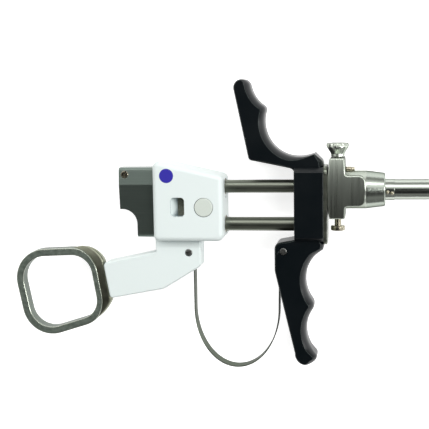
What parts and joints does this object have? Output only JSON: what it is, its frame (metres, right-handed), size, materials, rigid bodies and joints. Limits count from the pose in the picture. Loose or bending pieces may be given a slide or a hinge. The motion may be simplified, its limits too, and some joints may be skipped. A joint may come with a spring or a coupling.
{
  "type": "resectoscope working element",
  "caption": "Resectoscope working element on its side: finger grip, sliding block with thumb ring, leaf spring and inner sheath.",
  "frame": {"origin": "on the sheath tube's axis, in the front end face of its cone", "axes": "+X forwards along the sheath tube, +Y towards the index finger's hook, +Z out of the side that faces up; the part lies on its other side at z = -9 mm"},
  "size_m": [0.347, 0.1165, 0.0182],
  "materials": {
    "black_grip": "satin black moulding",
    "white_plastic": "satin white moulding",
    "grey_plastic": "satin light grey",
    "bush_plastic": "bearing plastic",
    "blue_marker": "glossy blue",
    "seal_rubber": "black rubber",
    "ceramic": "glazed white",
    "brass": "polished",
    "steel": "brushed, with eased edges",
    "polished_steel": "polished bar",
    "spring_steel": "satin spring strip"
  },
  "bodies": {
    "handle": {"finger_grip": "black_grip", "grip_pin": "steel", "face_plate": "steel", "face_plate_screws": "steel", "coupling_nose": "steel", "nose_seal": "seal_rubber", "telescope_tube": "polished_steel", "guide_rod": "polished_steel", "rear_block": "steel", "clamp_screw": "steel", "leaf_spring": "spring_steel", "sheath_housing": "steel", "index_stud": "brass", "sheath_cone": "steel", "sheath_tube": "polished_steel", "insulating_tip": "ceramic", "index_pips": "steel", "lock_spring": "spring_steel"},
    "carriage": {"slide_block": "white_plastic", "upper_bush": "bush_plastic", "lower_bush": "bush_plastic", "marker_plug": "blue_marker", "hf_socket": "brass", "electrode_clamp": "steel", "button_spring": "spring_steel", "thumb_arm": "white_plastic", "arm_screws": "steel", "arm_pin": "steel", "retaining_screw": "steel"},
    "button": {"release_button": "grey_plastic"},
    "ring": {"thumb_ring": "steel", "ring_pivot": "steel"},
    "lock": {"lock_plate": "steel", "lock_knob": "steel", "lock_button": "steel"}
  },
  "joints": [
    {"name": "carriage_slide", "type": "slide", "parent": "handle", "child": "carriage", "axis": [1, 0, 0], "range_m": [0, 0.026], "stiffness_N_per_m": 300, "springref_m": -0.02, "deforming": ["leaf_spring"]},
    {"name": "release_button_press", "type": "slide", "parent": "carriage", "child": "button", "axis": [0, 0, -1], "range_m": [0, 0.0015], "stiffness_N_per_m": 800, "springref_m": -0.002, "deforming": ["button_spring"]},
    {"name": "ring_swivel", "type": "hinge", "parent": "carriage", "child": "ring", "pos_m": [-0.1127, -0.037, 0], "axis": [0.9848, 0.1736, 0], "range_deg": [-90, 90]},
    {"name": "lock_lift", "type": "slide", "parent": "handle", "child": "lock", "axis": [0, 1, 0], "range_m": [0, 0.002], "stiffness_N_per_m": 1000, "springref_m": -0.002, "deforming": ["lock_spring"]}
  ]
}
